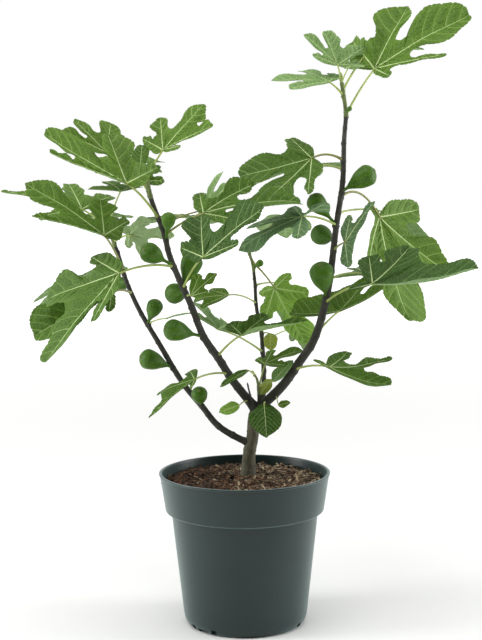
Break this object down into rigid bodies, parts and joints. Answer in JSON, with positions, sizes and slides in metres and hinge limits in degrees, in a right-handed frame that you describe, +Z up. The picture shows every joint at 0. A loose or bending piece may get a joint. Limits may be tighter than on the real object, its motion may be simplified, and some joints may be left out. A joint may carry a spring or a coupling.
{
  "type": "fig tree in a pot",
  "caption": "Young fig tree with lobed leaves and green figs on forking boughs, standing in a round nursery pot of soil.",
  "frame": {"origin": "centre of the pot's flat underside, on the surface it stands on", "axes": "+Z up along the pot's axis, +X to the right of the viewer, +Y away from the viewer"},
  "size_m": [0.5777, 0.3706, 0.7558],
  "materials": {
    "pot_plastic": "moulded polypropylene, satin",
    "potting_soil": "coarse peat and bark fibre",
    "bark": "smooth young bark with leaf scars",
    "foliage": "leaf blades, petioles, green shoots and figs"
  },
  "bodies": {
    "root": {"pot": "pot_plastic", "soil": "potting_soil", "trunk": "bark", "left_bough": "bark", "right_bough": "bark", "centre_bough": "bark", "back_bough": "bark", "dead_stub": "bark", "right_top_leaves": "foliage", "right_upper_leaves": "foliage", "right_lower_leaves": "foliage", "centre_top_leaves": "foliage", "centre_upper_leaves": "foliage", "centre_lower_leaves": "foliage", "left_top_leaves": "foliage", "left_lower_leaves": "foliage", "back_top_leaves": "foliage", "back_lower_leaves": "foliage", "young_shoot": "foliage", "right_low_leaf": "foliage", "right_mid_leaf": "foliage", "centre_low_leaf": "foliage", "centre_front_leaf": "foliage", "centre_fig": "foliage", "left_fig": "foliage", "left_low_fig": "foliage", "left_foot_fig": "foliage", "fork_leaf": "foliage", "fork_right_leaf": "foliage", "fork_left_leaf": "foliage"}
  },
  "joints": []
}
